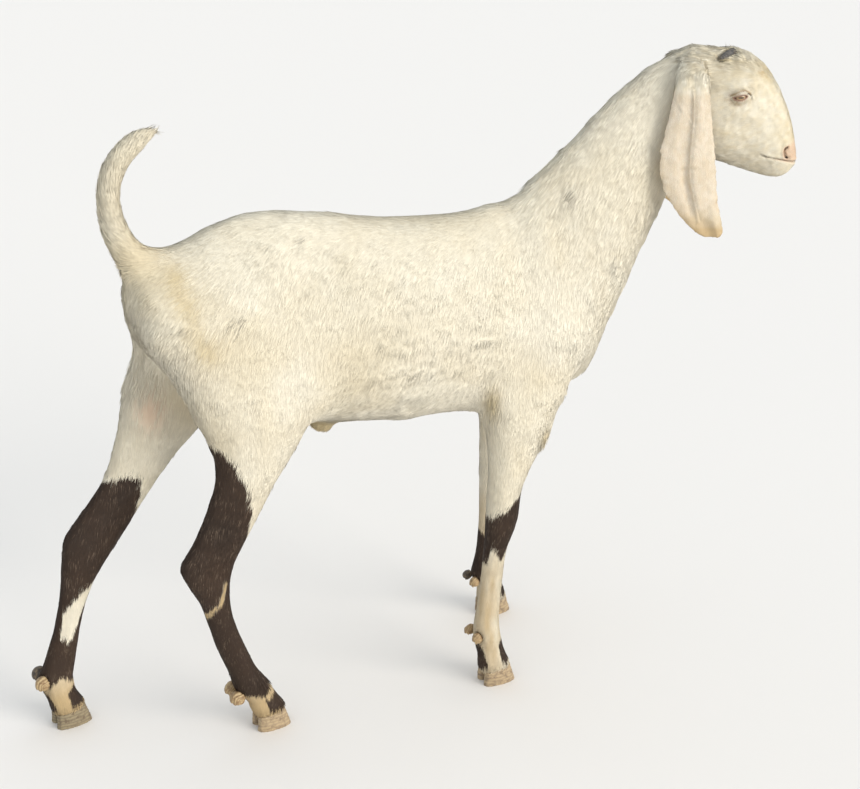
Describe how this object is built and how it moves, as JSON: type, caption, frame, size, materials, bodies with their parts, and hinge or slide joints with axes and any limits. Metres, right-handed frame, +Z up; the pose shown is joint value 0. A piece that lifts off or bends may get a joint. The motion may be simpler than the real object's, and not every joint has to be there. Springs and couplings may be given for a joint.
{
  "type": "goat",
  "caption": "Standing long-eared dairy goat, cream with dark leg patches, head turned a little to its right and tail curled up, as a life-size still model.",
  "frame": {"origin": "on the floor under the middle of the goat's box", "axes": "+X the way the goat faces, +Y its left side, +Z up"},
  "size_m": [1.2936, 0.3066, 1.0588],
  "materials": {
    "coat": "matte short hair",
    "ear_skin": "thinly haired skin",
    "eye": "wet",
    "horn": "dull keratin",
    "hoof": "dull keratin"
  },
  "bodies": {
    "root": {"trunk": "coat", "neck": "coat", "head": "coat", "ear_right": "ear_skin", "ear_left": "ear_skin", "eye_right": "eye", "eye_left": "eye", "horn_right": "horn", "horn_left": "horn", "tail_base": "coat", "tail_tip": "coat", "leg_upper_fore_right": "coat", "leg_lower_fore_right": "coat", "leg_upper_fore_left": "coat", "leg_lower_fore_left": "coat", "leg_upper_hind_right": "coat", "leg_lower_hind_right": "coat", "leg_upper_hind_left": "coat", "leg_lower_hind_left": "coat", "hoof_fore_right_outer": "hoof", "hoof_fore_right_inner": "hoof", "hoof_fore_left_outer": "hoof", "hoof_fore_left_inner": "hoof", "hoof_hind_right_outer": "hoof", "hoof_hind_right_inner": "hoof", "hoof_hind_left_outer": "hoof", "hoof_hind_left_inner": "hoof", "dewclaw_fore_right_outer": "hoof", "dewclaw_fore_right_inner": "hoof", "dewclaw_fore_left_outer": "hoof", "dewclaw_fore_left_inner": "hoof", "dewclaw_hind_right_outer": "hoof", "dewclaw_hind_right_inner": "hoof", "dewclaw_hind_left_outer": "hoof", "dewclaw_hind_left_inner": "hoof"}
  },
  "joints": []
}
